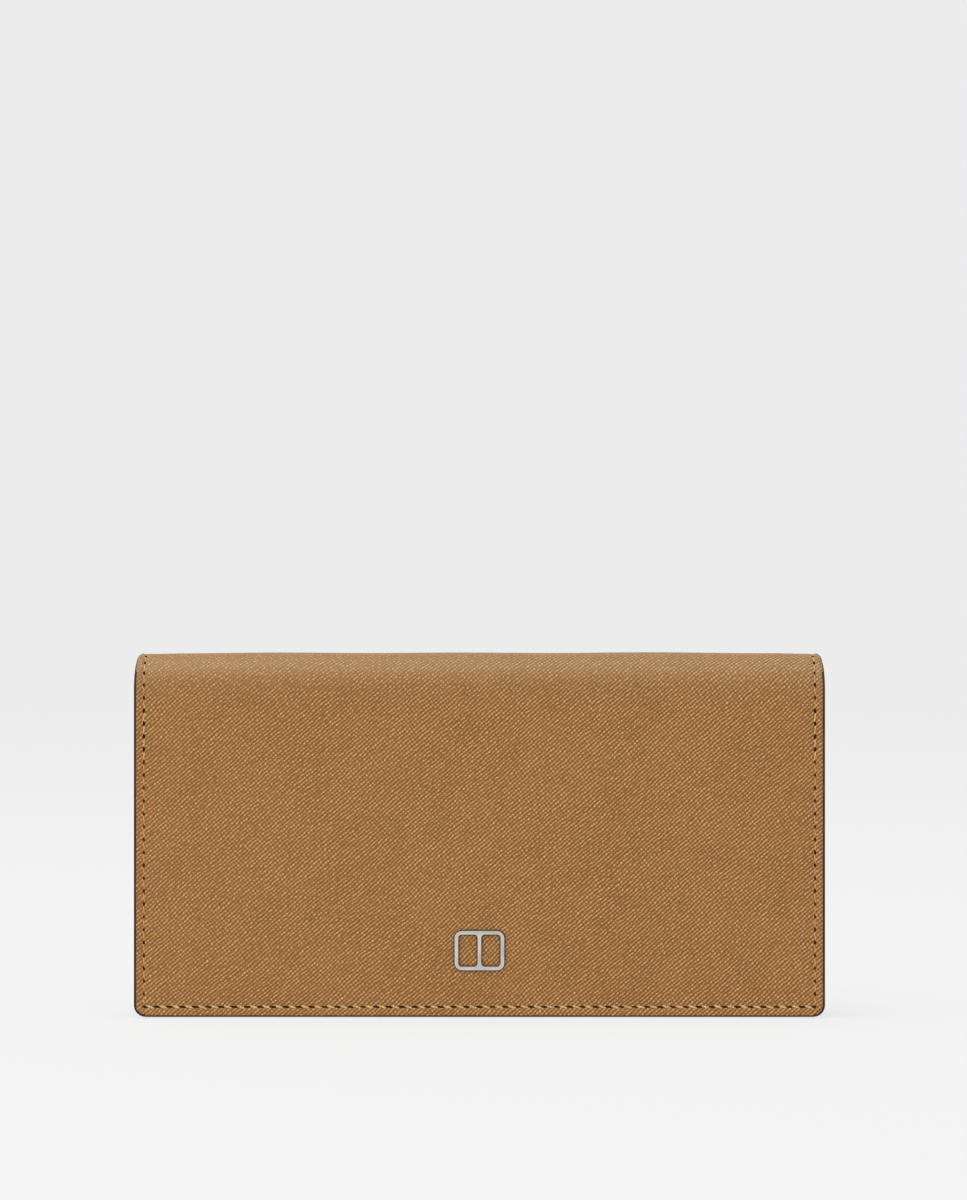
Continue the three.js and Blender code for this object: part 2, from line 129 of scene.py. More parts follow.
class WalletStitching(bpy.types.PropertyGroup):
    pitch: length("Stitch pitch", "From one needle hole to the next", 3.5 * MM)
    inset: length("Seam inset", "Seam to the cut edge", 2.7 * MM)
    width: length("Thread width", "Width of the thread", 0.42 * MM)
    thread: colour("Thread", "Thread of the seams", (0.78, 0.50, 0.20, 1))
    hole: colour("Needle hole", "Shade inside a needle hole", (0.016, 0.008, 0.003, 1))


class WalletFittings(bpy.types.PropertyGroup):
    nickel: colour("Nickel", "Plated fittings", (0.70, 0.66, 0.61, 1))
    # Partly tarnish, partly painted shadow where the emblem meets the leather.
    tarnish: colour("Tarnish", "Dark flanks of the emblem", (0.030, 0.016, 0.010, 1))
    cloth: colour("Cloth", "Woven lining", (0.42, 0.27, 0.14, 1))
    tape: colour("Zip tape", "Tape of the zip", (0.30, 0.15, 0.055, 1))
    coil: colour("Zip coil", "Nylon of the zip", (0.40, 0.22, 0.085, 1))
    tooth: length("Tooth pitch", "From one tooth of the zip to the next", 1.4 * MM)


class WalletStage(bpy.types.PropertyGroup):
    distance: length("Camera distance", "From the front face to the camera", 1.0)
    height: length("Camera height", "Camera above the floor", 113.7 * MM)
    aside: length("Camera aside", "Camera to the right of the middle", 1.1 * MM)
    view: length("View height", "Height seen at the front face", 326.4 * MM)
    floor: colour("Floor", "Seamless floor and backdrop", (0.871, 0.871, 0.871, 1))


def leather():
    return bpy.context.scene.wallet_leather


def stitching():
    return bpy.context.scene.wallet_stitching


def fittings():
    return bpy.context.scene.wallet_fittings


# ------------------------------------------------------------------ node helpers
VECTOR = "NodeSocketVector"
FLOAT = "NodeSocketFloat"
MAIN_ANGLE = math.radians(49)  # directions that the two sets of ridges are counted along
CROSS_ANGLE = math.radians(143)
TWILL_ANGLE = math.radians(58)


def connect(tree, node, links):
    """Joins a socket to, or sets a value on, each input named or numbered in links."""
    for key, value in links.items():
        if isinstance(value, bpy.types.NodeSocket):
            tree.links.new(value, node.inputs[key])
        else:
            node.inputs[key].default_value = value


def put(tree, kind, links=None, **settings):
    node = tree.nodes.new(kind)
    for key, value in settings.items():
        setattr(node, key, value)
    connect(tree, node, links or {})
    return node


def maths(tree, operation, a, b=0.0, c=0.0, clamp=False):
    values = {0: a, 1: b, 2: c}
    return put(tree, "ShaderNodeMath", values, operation=operation, use_clamp=clamp).outputs[0]


def blend_colour(tree, factor, a, b, mode="MIX"):
    links = {"Factor": factor, 6: a, 7: b}
    return put(tree, "ShaderNodeMix", links, data_type="RGBA", blend_type=mode).outputs[2]


def remap(tree, value, low, high, to_low=0.0, to_high=1.0):
    links = {"Value": value, "From Min": low, "From Max": high, "To Min": to_low, "To Max": to_high}
    return put(tree, "ShaderNodeMapRange", links, interpolation_type="SMOOTHSTEP").outputs[0]


def noise(tree, vector, scale, detail=2.0, roughness=0.5):
    links = {"Vector": vector, "Scale": scale, "Detail": detail, "Roughness": roughness}
    return put(tree, "ShaderNodeTexNoise", links).outputs["Fac"]


def toned(base, share):
    """A colour scaled by a share, which may also be above one to make it lighter."""
    return tuple(min(1, c * share) for c in base[:3]) + (1,)


def new_group(name, inputs, outputs):
    """A node group that takes a Vector and the named numbers, and puts out named numbers."""
    group = bpy.data.node_groups.new(name, "ShaderNodeTree")
    group.interface.new_socket("Vector", in_out="INPUT", socket_type=VECTOR)
    for label, default in inputs.items():
        socket = group.interface.new_socket(label, in_out="INPUT", socket_type=FLOAT)
        socket.default_value = default
    for label in outputs:
        group.interface.new_socket(label, in_out="OUTPUT", socket_type=FLOAT)
    return group, group.nodes.new("NodeGroupInput").outputs, group.nodes.new("NodeGroupOutput")


def ridges(tree, vector, angle, pitch, wander):
    """Rows of ridges across a direction, 0 in the valleys and 1 on the crests."""
    direction = (math.cos(angle), math.sin(angle), 0.0)
    dot = put(tree, "ShaderNodeVectorMath", {0: vector, 1: direction}, operation="DOT_PRODUCT")
    turns = maths(tree, "DIVIDE", dot.outputs["Value"], pitch)
    phase = maths(tree, "MULTIPLY", maths(tree, "ADD", turns, wander), math.tau)
    return maths(tree, "MULTIPLY_ADD", maths(tree, "SINE", phase), 0.5, 0.5)


def crossed_grain_group():
    """Two crossed sets of ridges. Stretch flattens them, and below zero makes them stronger."""
    inputs = {"Main Pitch": 0.88 * MM, "Cross Pitch": 0.93 * MM, "Stretch": 0.0}
    outputs = ["Height", "Tint", "Glint", "Patches"]
    group, start, end = new_group("Crossed Grain", inputs, outputs)
    vector = start["Vector"]
    slow = maths(group, "MULTIPLY", noise(group, vector, 42), 2.4)
    quick = maths(group, "MULTIPLY", noise(group, vector, 520), 0.85)
    wander = maths(group, "ADD", slow, quick)
    main = ridges(group, vector, MAIN_ANGLE, start["Main Pitch"], wander)
    cross = ridges(group, vector, CROSS_ANGLE, start["Cross Pitch"], wander)
    patches = remap(group, noise(group, vector, 40, 3.0), 0.35, 0.65)
    share = remap(group, patches, 0.0, 1.0, 0.12, 0.30)

    broken = remap(group, noise(group, vector, 900, 3.0, 0.7), 0.30, 0.62, 0.45, 1.0)
    worn = remap(group, noise(group, vector, 150), 0.30, 0.60, 0.76, 1.0)
    broken = maths(group, "MULTIPLY", broken, worn)
    crest = maths(group, "MULTIPLY", maths(group, "POWER", main, 1.4), broken)
    height = maths(group, "MULTIPLY_ADD", crest, 0.82, maths(group, "MULTIPLY", cross, share))
    flatter = maths(group, "MULTIPLY", start["Stretch"], 0.6)
    level = maths(group, "MULTIPLY", flatter, 0.38)
    height = maths(group, "MULTIPLY", height, maths(group, "SUBTRACT", 1.0, flatter))
    height = maths(group, "ADD", height, level)

    # Glint is the mask of a painted highlight: beads on the ridge tips where the two sets cross.
    beads = maths(group, "POWER", maths(group, "MULTIPLY_ADD", cross, 0.65, 0.35), 2.0)
    tips = maths(group, "MULTIPLY", maths(group, "POWER", main, 3.0), beads)
    speckle = remap(group, noise(group, vector, 1300, 1.0), 0.42, 0.62)
    tips = maths(group, "MULTIPLY", tips, speckle, clamp=True)
    tint = remap(group, height, 0.08, 0.85)
    connect(group, end, {"Height": height, "Tint": tint, "Glint": tips, "Patches": patches})
    return group


def pebble_group():
    """Fine round pebbles, as on smooth leather."""
    group, start, end = new_group("Pebble Grain", {"Scale": 1800.0}, ["Height", "Tint"])
    links = {"Vector": start["Vector"], "Scale": start["Scale"]}
    cells = put(group, "ShaderNodeTexVoronoi", links, feature="DISTANCE_TO_EDGE")
    tint = remap(group, noise(group, start["Vector"], 45, 5.0, 0.6), 0.25, 0.75)
    height = remap(group, cells.outputs["Distance"], 0.0, 0.35)
    connect(group, end, {"Height": height, "Tint": tint})
    return group


def weave_group():
    """Threads of cloth, crossed by a slanting twill."""
    group, start, end = new_group("Weave", {"Thread": 0.5 * MM}, ["Height", "Tint"])
    warp = ridges(group, start["Vector"], 0.0, start["Thread"], 0.0)
    twill = ridges(group, start["Vector"], TWILL_ANGLE, start["Thread"], 0.0)
    height = maths(group, "ADD", maths(group, "MULTIPLY", warp, 0.4), twill)
    tint = remap(group, noise(group, start["Vector"], 160, 4.0), 0.3, 0.7)
    connect(group, end, {"Height": height, "Tint": tint})
    return group


def rub_group():
    """Fine scratches drawn out across one direction, and smudges."""
    group, start, end = new_group("Fine Rub", {"Length": 12.0}, ["Scratches", "Smudges"])
    drawn = {0: 1.0, 1: start["Length"], 2: start["Length"]}
    drawn = put(group, "ShaderNodeCombineXYZ", drawn).outputs[0]
    links = {0: start["Vector"], 1: drawn}
    across = put(group, "ShaderNodeVectorMath", links, operation="MULTIPLY").outputs[0]
    scratches = noise(group, across, 900, 3.0, 0.7)
    smudges = remap(group, noise(group, start["Vector"], 260, 3.0), 0.35, 0.7)
    connect(group, end, {"Scratches": scratches, "Smudges": smudges})
    return group


GROUPS = {
    "Crossed Grain": crossed_grain_group,
    "Pebble Grain": pebble_group,
    "Weave": weave_group,
    "Fine Rub": rub_group,
}


def use_group(tree, name, vector, **values):
    """A group's outputs. It is built when first used."""
    group = bpy.data.node_groups.get(name) or GROUPS[name]()
    node = put(tree, "ShaderNodeGroup", node_tree=group)
    links = {label.replace("_", " "): value for label, value in values.items()}
    connect(tree, node, {"Vector": vector, **links})
    return node.outputs


def blank_material(name):
    material = bpy.data.materials.new(name)
    material.use_nodes = True
    tree = material.node_tree
    tree.nodes.clear()
    shader = put(tree, "ShaderNodeBsdfPrincipled")
    put(tree, "ShaderNodeOutputMaterial", {0: shader.outputs[0]})
    return material, tree, shader


def object_place(tree):
    return put(tree, "ShaderNodeTexCoord").outputs["Object"]


def bump(tree, height, distance, strength):
    links = {"Height": height, "Distance": distance, "Strength": strength}
    return put(tree, "ShaderNodeBump", links).outputs[0]


# ------------------------------------------------------------------ materials
def crosshatch_material():
    """Coated leather with a crossed grain, which lies flatter over the fold and has a painted sheen
    there.
    """
    settings = leather()
    material, tree, shader = blank_material("cover_leather")
    place = put(tree, "ShaderNodeUVMap", uv_map="sheet").outputs["UV"]
    split = put(tree, "ShaderNodeSeparateXYZ", {0: place}).outputs
    crown = FOLD_Z + FOLD_LENGTH / 2
    from_crown = maths(tree, "ABSOLUTE", maths(tree, "SUBTRACT", split["Y"], crown))
    stretch = remap(tree, from_crown, 9 * MM, 19 * MM, 1.0, 0.0)
    # Grain flatter and of less contrast on the left, stronger on the right: partly uneven leather,
    # partly painted light, as a low light from the right catches more ridges.
    uneven_and_side_lit = remap(tree, split["X"], -HALF_WIDTH, HALF_WIDTH, 0.46, -0.36)
    grain = use_group(
        tree, "Crossed Grain", place,
        Main_Pitch=settings.main_pitch, Cross_Pitch=settings.cross_pitch,
        Stretch=maths(tree, "ADD", stretch, uneven_and_side_lit),
    )
    body = blend_colour(tree, grain["Tint"], settings.valley, settings.ridge)
    # Painted highlight: the glint colour laid over the ridge tips.
    lit = blend_colour(tree, maths(tree, "MULTIPLY", grain["Glint"], 0.9), body, settings.glint)
    shade = maths(tree, "MULTIPLY_ADD", grain["Patches"], -0.05, 1.03)
    dimmed = blend_colour(tree, 1.0, lit, shade, "MULTIPLY")
    # Painted sheen: the colour turns greyer towards the crown of the fold.
    sheen_share = remap(tree, from_crown, 4 * MM, 21 * MM, 0.18, 0.0)
    connect(tree, shader, {
        "Base Color": blend_colour(tree, sheen_share, dimmed, settings.dust),
        "Roughness": remap(tree, grain["Tint"], 0, 1, 0.60, 0.42),
        "Specular IOR Level": 0.45,
        "Normal": bump(tree, grain["Height"], 0.14 * MM, 0.9),
    })
    return material


def smooth_leather_material(name, base):
    material, tree, shader = blank_material(name)
    grain = use_group(tree, "Pebble Grain", object_place(tree), Scale=1800.0)
    dark = toned(base, 0.90)
    body = blend_colour(tree, grain["Tint"], dark, toned(base, 1.06))
    creases = maths(tree, "MULTIPLY_ADD", grain["Height"], -0.25, 0.25)
    connect(tree, shader, {
        "Base Color": blend_colour(tree, creases, body, dark),
        "Roughness": remap(tree, grain["Tint"], 0, 1, 0.52, 0.62),
        "Normal": bump(tree, grain["Height"], 0.07 * MM, 0.7),
    })
    return material


def cloth_material(name, base, thread):
    material, tree, shader = blank_material(name)
    weave = use_group(tree, "Weave", object_place(tree), Thread=thread)
    dark = toned(base, 0.62)
    body = blend_colour(tree, remap(tree, weave["Height"], 0.2, 1.3), dark, base)
    connect(tree, shader, {
        "Base Color": blend_colour(tree, maths(tree, "MULTIPLY", weave["Tint"], 0.25), body, dark),
        "Roughness": 0.85,
        "Sheen Weight": 0.25,
        "Normal": bump(tree, weave["Height"], 0.08 * MM, 0.8),
    })
    return material


def metal_material(name, base, rough_low, rough_high):
    material, tree, shader = blank_material(name)
    rub = use_group(tree, "Fine Rub", object_place(tree), Length=9.0)
    connect(tree, shader, {
        "Base Color": blend_colour(tree, rub["Smudges"], base, toned(base, 0.82)),
        "Roughness": remap(tree, rub["Smudges"], 0, 1, rough_low, rough_high),
        "Metallic": 1.0,
        "Normal": bump(tree, rub["Scratches"], 0.01 * MM, 0.5),
    })
    return material


def emblem_material():
    """Nickel whose flanks are dark and dull where they meet the leather: partly tarnish, partly
    painted shadow.
    """
    material = metal_material("emblem_nickel", fittings().nickel, 0.24, 0.34)
    tree = material.node_tree
    shader = tree.nodes["Principled BSDF"]
    clean, polish = (shader.inputs[n].links[0].from_socket for n in ("Base Color", "Roughness"))
    depth = put(tree, "ShaderNodeSeparateXYZ", {0: object_place(tree)}).outputs["Y"]
    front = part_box("emblem")[0].y
    # The flank mask lays tarnish and painted shadow on the emblem's sides next to the leather.
    flank = remap(tree, depth, front + 0.015 * MM, front + 0.055 * MM)
    connect(tree, shader, {
        "Base Color": blend_colour(tree, flank, clean, fittings().tarnish),
        "Metallic": maths(tree, "SUBTRACT", 1.0, flank),
        "Roughness": maths(tree, "MULTIPLY_ADD", flank, 0.45, polish, clamp=True),
    })
    return material


def painted_edge_material():
    material, tree, shader = blank_material("edge_paint")
    rub = use_group(tree, "Fine Rub", object_place(tree), Length=1.0)
    base = leather().paint
    worn = maths(tree, "MULTIPLY", rub["Smudges"], 0.6)
    connect(tree, shader, {
        "Base Color": blend_colour(tree, worn, base, toned(base, 2.6)),
        "Roughness": remap(tree, rub["Smudges"], 0, 1, 0.42, 0.6),
        "Specular IOR Level": 0.2,
        "Normal": bump(tree, rub["Scratches"], 0.04 * MM, 0.6),
    })
    return material


def thread_material():
    material, tree, shader = blank_material("thread")
    strands = noise(tree, object_place(tree), 2600)
    base = stitching().thread
    lit = remap(tree, strands, 0.3, 0.6)
    connect(tree, shader, {
        "Base Color": blend_colour(tree, lit, toned(base, 0.45), base),
        "Roughness": remap(tree, strands, 0.3, 0.7, 0.65, 0.45),
        "Sheen Weight": 0.2,
        "Normal": bump(tree, strands, 0.06 * MM, 0.7),
    })
    return material


def hole_material():
    material, tree, shader = blank_material("needle_hole")
    speckle = noise(tree, object_place(tree), 3000)
    base = stitching().hole
    connect(tree, shader, {
        "Base Color": blend_colour(tree, speckle, base, toned(base, 2.4)),
        "Roughness": 0.9,
        "Specular IOR Level": 0.05,
        "Normal": bump(tree, speckle, 0.03 * MM, 0.5),
    })
    return material


def board_material():
    material, tree, shader = blank_material("pressed_board")
    fibres = noise(tree, object_place(tree), 1200, 5.0, 0.7)
    connect(tree, shader, {
        "Base Color": blend_colour(tree, fibres, (0.16, 0.12, 0.08, 1), (0.36, 0.29, 0.21, 1)),
        "Roughness": 0.9,
        "Normal": bump(tree, fibres, 0.05 * MM, 0.5),
    })
    return material


def nylon_material():
    material, tree, shader = blank_material("coil_nylon")
    clouds = noise(tree, object_place(tree), 700, 3.0)
    base = fittings().coil
    connect(tree, shader, {
        "Base Color": blend_colour(tree, clouds, toned(base, 0.6), base),
        "Roughness": remap(tree, clouds, 0.3, 0.7, 0.35, 0.5),
        "Normal": bump(tree, clouds, 0.02 * MM, 0.4),
    })
    return material


MAGNET_GREY = (0.09, 0.09, 0.095, 1)
MAKERS = {
    "cover_leather": crosshatch_material,
    "inside_leather": lambda: smooth_leather_material("inside_leather", leather().inside),
    "edge_paint": painted_edge_material,
    "thread": thread_material,
    "needle_hole": hole_material,
    "twill_cloth": lambda: cloth_material("twill_cloth", fittings().cloth, 0.5 * MM),
    "tape_cloth": lambda: cloth_material("tape_cloth", fittings().tape, 0.35 * MM),
    "coil_nylon": nylon_material,
    "plated_nickel": lambda: metal_material("plated_nickel", fittings().nickel, 0.22, 0.36),
    "emblem_nickel": emblem_material,
    "dark_magnet": lambda: metal_material("dark_magnet", MAGNET_GREY, 0.4, 0.6),
    "pressed_board": board_material,
}


def material_of(name):
    return bpy.data.materials.get(name) or MAKERS[name]()


# ------------------------------------------------------------------ object helpers
ROUND_STEPS = 72  # sides of the snap's round pieces


def deselect():
    for obj in list(bpy.context.selected_objects):
        obj.select_set(False)


def activate(obj):
    deselect()
    obj.select_set(True)
    bpy.context.view_layer.objects.active = obj


def apply_modifier(obj, kind, **settings):
    activate(obj)
    modifier = obj.modifiers.new(kind.lower(), kind)
    for key, value in settings.items():
        setattr(modifier, key, value)
    bpy.ops.object.modifier_apply(modifier=modifier.name)


def smooth(obj, degrees=40):
    activate(obj)
    bpy.ops.object.shade_smooth_by_angle(angle=math.radians(degrees))


def give(obj, *names):
    obj.data.materials.clear()
    for name in names:
        obj.data.materials.append(material_of(name))


def mount(piece, body, slot, *nodes):
    """Rides a piece on a body, in place of the nodes that it stands for, if any."""
    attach(piece, body)
    if nodes:
        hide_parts(*nodes)


def place_points(obj, x, y, z):
    obj.data.vertices.foreach_set("co", np.column_stack((x, y, z)).ravel())
    obj.data.update()


def refine(node, material, bevel, slot, body):
    """A finished piece in place of a CAD node: the same shape with its edges rounded."""
    piece = bpy.data.objects.new(f"{node}_finished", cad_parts[node].data.copy())
    bpy.context.scene.collection.objects.link(piece)
    activate(piece)
    bpy.ops.object.mode_set(mode="EDIT")
    bpy.ops.mesh.select_all(action="SELECT")
    bpy.ops.mesh.remove_doubles(threshold=0.002 * MM)
    bpy.ops.mesh.dissolve_limited(angle_limit=math.radians(3))
    bpy.ops.object.mode_set(mode="OBJECT")
    apply_modifier(
        piece, "BEVEL", width=bevel, segments=3, limit_method="ANGLE",
        angle_limit=math.radians(35), use_clamp_overlap=True,
    )
    give(piece, material)
    smooth(piece)
    mount(piece, body, slot, node)


def grid(name, across, along):
    """A flat grid, and the pair of stations that each of its vertices stands for."""
    deselect()
    bpy.ops.mesh.primitive_grid_add(x_subdivisions=len(across) - 1, y_subdivisions=len(along) - 1)
    obj = bpy.context.object
    obj.name = obj.data.name = name
    while obj.data.uv_layers:
        obj.data.uv_layers.remove(obj.data.uv_layers[0])
    count = len(obj.data.vertices)
    place = np.zeros(count * 3)
    obj.data.vertices.foreach_get("co", place)
    place = place.reshape(-1, 3)
    column = np.rint((place[:, 0] + 1) / 2 * (len(across) - 1)).astype(int)
    row = np.rint((place[:, 1] + 1) / 2 * (len(along) - 1)).astype(int)
    return obj, np.asarray(across)[column], np.asarray(along)[row]


def repair(obj):
    """Closes the seams of a shape and turns its faces outwards."""
    activate(obj)
    bpy.ops.object.mode_set(mode="EDIT")
    bpy.ops.mesh.select_all(action="SELECT")
    bpy.ops.mesh.remove_doubles(threshold=0.001 * MM)
    bpy.ops.mesh.normals_make_consistent(inside=False)
    bpy.ops.object.mode_set(mode="OBJECT")


def lathe(name, profile, origin_y, material):
    """A round piece on the snap's axis, from (radius, distance towards the back) in millimetres."""
    profile = np.array(profile) * MM
    turn = np.linspace(0, math.tau, ROUND_STEPS + 1)
    obj, angle, row = grid(name, turn, np.arange(len(profile)))
    radius, depth = profile[row.astype(int)].T
    place_points(obj, radius * np.cos(angle), origin_y + depth, SNAP_Z + radius * np.sin(angle))
    repair(obj)
    give(obj, material)
    smooth(obj, 35)
    return obj


def block(name, low, high, bevel, material):
    """A small rounded block between two corners."""
    deselect()
    middle = [(a + b) / 2 for a, b in zip(low, high)]
    bpy.ops.mesh.primitive_cube_add(size=1, location=middle)
    obj = bpy.context.object
    obj.name = obj.data.name = name
    obj.scale = [b - a for a, b in zip(low, high)]
    bpy.ops.object.transform_apply(location=True, rotation=True, scale=True)
    apply_modifier(obj, "BEVEL", width=bevel, segments=2, limit_method="ANGLE")
    give(obj, material)
    smooth(obj, 50)
    return obj


def set_uv(obj, u, v):
    layer = obj.data.uv_layers.new(name="sheet")
    corner = np.zeros(len(obj.data.loops), int)
    obj.data.loops.foreach_get("vertex_index", corner)
    layer.data.foreach_set("uv", np.column_stack((u[corner], v[corner])).ravel())


# ------------------------------------------------------------------ the sheet of the cover
def edge_distance(x, s):
    """How far a point of the flat sheet lies inside its rounded outline."""
    radius = leather().corner
    qx = np.abs(x) - (HALF_WIDTH - radius)
    qs = np.abs(s - SHEET_LENGTH / 2) - (SHEET_LENGTH / 2 - radius)
    outside = np.hypot(np.maximum(qx, 0), np.maximum(qs, 0))
    return radius - outside - np.minimum(np.maximum(qx, qs), 0)


def ease(t):
    t = np.clip(t, 0, 1)
    return t * t * (3 - 2 * t)


def turn_angle(s):
    return np.clip((s - FOLD_Z) / FOLD_RADIUS, 0, math.pi)


def relief(x, s):
    """How far the leather stands out from the plain cover: dips at the seam, crown, soft waves."""
    d = edge_distance(x, s)
    crown = np.sin(turn_angle(s)) ** 2
    groove = -0.16 * MM * np.exp(-(((d - stitching().inset) / (0.75 * MM)) ** 2))
    padding = 0.22 * MM * ease((d - 3.2 * MM) / (9 * MM))
    lip = 0.10 * MM * np.exp(-(((d - 1.3 * MM) / (0.6 * MM)) ** 2))
    droop = -0.8 * MM * crown * (1 - ease(d / (1.7 * MM)))
    wave = 0.10 * MM * np.sin(x * 61 + 1.3) * np.sin(s * 47 + 0.4)
    wave += 0.16 * MM * crown * np.sin(x * 38 + 2.1) * np.cos(x * 83)
    return groove + padding + lip + droop + wave * ease(d / (8 * MM))


def sheet_point(x, s, depth):
    """The point of the folded sheet at x across and s along it, depth inside the outer face."""
    angle = turn_angle(s)
    radius = FOLD_RADIUS - depth
    y = FOLD_Y + radius * np.cos(angle)
    z = FOLD_Z + radius * np.sin(angle)
    z = np.where(s < FOLD_Z, s, z)
    z = np.where(s > FOLD_END, FOLD_Z + FOLD_END - s, z)
    return np.column_stack((x, y, z))


def narrowed(x, from_end, half, radius, band, pulled=0.0):
    """x pulled in over a band at each side, so that a sheet's end has round corners."""
    t = np.clip(from_end, 0, radius)
    end = half - pulled - radius + np.sqrt(np.maximum(radius**2 - (radius - t) ** 2, 0))
    inner = half - band
    beyond = np.maximum(np.abs(x) - inner, 0)
    return np.sign(x) * (np.minimum(np.abs(x), inner) + beyond * (end - inner) / band)


def stations_across():
    """Stations across the sheet, close together at the seams."""
    near = [0, 0.32, 0.65, 1.0, 1.4, 1.8, 2.2, 2.55, 2.9, 3.3, 3.9, 4.6, 5.5, 7, 9, 12, 16]
    near = np.array(near) * MM
    middle = np.linspace(-(HALF_WIDTH - 20 * MM), HALF_WIDTH - 20 * MM, 45)
    return np.concatenate((near - HALF_WIDTH, middle, (HALF_WIDTH - near)[::-1]))


def stations_along(first, last):
    """Stations along one length of the sheet, close together at a lower edge and over the fold."""
    near = [0, 0.16, 0.43, 0.8, 1.2, 1.6, 2.0, 2.4, 2.7, 3.0, 3.4, 3.9, 4.6, 5.5, 7, 9, 12]
    near = np.array(near) * MM
    rear = np.linspace(16 * MM, FOLD_Z, 22)[:-1]
    fold = np.linspace(FOLD_Z, FOLD_END, 49)
    front = np.linspace(FOLD_END, SHEET_LENGTH - 16 * MM, 22)[1:]
    stations = np.unique(np.concatenate((fold, rear, front, near, SHEET_LENGTH - near)))
    kept = stations[(stations > first + 0.05 * MM) & (stations < last - 0.05 * MM)]
    return np.concatenate(([first], kept, [last]))


def span_of(start_angle, end_angle):
    """Where a length of the cover starts and ends, along the flat sheet."""
    first = 0.0 if start_angle == 0 else FOLD_Z + start_angle * FOLD_RADIUS
    last = SHEET_LENGTH if end_angle == 4 * QUARTER else FOLD_Z + end_angle * FOLD_RADIUS
    return first, last


def bend(piece):
    """Bakes a piece of the sheet's placement into its mesh."""
    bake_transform(piece)


def sheet_piece(name, length_of_cover, depth_of, thickness, outward, materials):
    """One length of a sheet of the cover. Its shown side is depth_of inside the outer face."""
    first, last = span_of(*length_of_cover[3:])
    across = stations_across()
    obj, x, s = grid(name, -across if outward else across, stations_along(first, last))
    pulled = 0.45 * MM * np.sin(turn_angle(s)) ** 2
    from_end = np.minimum(s, SHEET_LENGTH - s)
    x = narrowed(x, from_end, HALF_WIDTH, leather().corner, 7 * MM, pulled)
    place_points(obj, *sheet_point(x, s, depth_of(x, s)).T)
    set_uv(obj, x, s)
    give(obj, *materials)
    apply_modifier(
        obj, "SOLIDIFY", thickness=thickness, offset=-1, use_rim=True, material_offset_rim=1,
    )
    round_rim(obj)
    smooth(obj, 50)
    bend(obj)
    return obj


def round_rim(obj):
    """Rounds and paints the sheet's cut edges, and leaves the ends where two lengths meet."""
    mesh = obj.data
    meets = set()
    for face in mesh.polygons:
        if face.material_index == 1 and face.center.z > FOLD_Z and abs(face.normal.x) < 0.5:
            face.material_index = 0
            meets.update(face.edge_keys)
    sides = {}
    for face in mesh.polygons:
        for key in face.edge_keys:
            sides.setdefault(key, []).append(face.material_index)
    weights = mesh.attributes.new("bevel_weight_edge", "FLOAT", "EDGE")
    for edge in mesh.edges:
        painted = sorted(sides[edge.key]) == [0, 1]
        weights.data[edge.index].value = float(painted and edge.key not in meets)
    apply_modifier(
        obj, "BEVEL", width=leather().bevel, segments=3, limit_method="WEIGHT",
        use_clamp_overlap=True,
    )
    place = np.zeros(len(mesh.loops) * 2)
    mesh.uv_layers["sheet"].data.foreach_get("uv", place)
    distance = edge_distance(*place.reshape(-1, 2).T)
    for face in mesh.polygons:
        inside = distance[face.loop_start : face.loop_start + face.loop_total].mean()
        face.material_index = int(inside < leather().painted)


# ------------------------------------------------------------------ stitches
POCKET_PITCH = 3.0 * MM
POCKET_THREAD = 0.34 * MM
POCKET_INSET = 2.2 * MM  # a pocket's seam from its edge
THREAD_LIFT = 0.03 * MM
TACK_FROM, TACK_TO = 71 * MM, 86 * MM  # doubled stitches, above the flap's lower edge


def copy_shapes(name, shape, copies, material):
    """One object with a copy of a small shape for each origin, three axes and size."""
    base = np.array([v.co for v in shape.vertices])
    faces = [tuple(f.vertices) for f in shape.polygons]
    points, polygons = [], []
    for origin, along, side, out, size in copies:
        local = base * size
        offset = len(points) * len(base)
        points.append(origin + local[:, :1] * along + local[:, 1:2] * side + local[:, 2:] * out)
        polygons += [tuple(i + offset for i in f) for f in faces]
    mesh = bpy.data.meshes.new(name)
    mesh.from_pydata(np.concatenate(points).tolist(), [], polygons)
    obj = bpy.data.objects.new(name, mesh)
    bpy.context.scene.collection.objects.link(obj)
    give(obj, material)
    smooth(obj, 60)
    return obj


def bead_shape():
    """A small bead, two across in each direction, that threads and holes are scaled from."""
    deselect()
    bpy.ops.mesh.primitive_uv_sphere_add(segments=8, ring_count=5, radius=1.0)
    obj = bpy.context.object
    shape = obj.data
    bpy.data.objects.remove(obj)
    return shape


def turned(along, side, angle):
    c, s = math.cos(angle), math.sin(angle)
    return along * c + side * s, side * c - along * s


def sheet_frame(x, s, depth_of, along_side, outward):
    """Origin and axes on the sheet: along the seam, across it, and out of the surface."""
    x, s, step = np.array([x]), np.array([s]), 0.2 * MM
    depth = depth_of(x, s)[0]
    here, ahead, behind = (sheet_point(x, s + move, depth)[0] for move in (0, step, -step))
    path = (ahead - behind) / np.linalg.norm(ahead - behind)
    right = np.array([1.0, 0.0, 0.0])
    out = np.cross(path, right) if outward else np.cross(right, path)
    return (here, path, right, out) if along_side else (here, right, path, out)


def seam_stations():
    """Needle holes of the cover's seam, as (x, s, runs along the sides)."""
    inset, pitch = stitching().inset, stitching().pitch
    found = []
    along = SHEET_LENGTH - 2 * inset
    steps = round(along / pitch)
    for side in (-1, 1):
        for i in range(1, steps):
            found.append((side * (HALF_WIDTH - inset), inset + along * i / steps, True))
    across = 2 * (HALF_WIDTH - inset)
    steps = round(across / pitch)
    for s in (inset, SHEET_LENGTH - inset):
        for i in range(steps + 1):
            found.append((-across / 2 + across * i / steps, s, False))
    return found


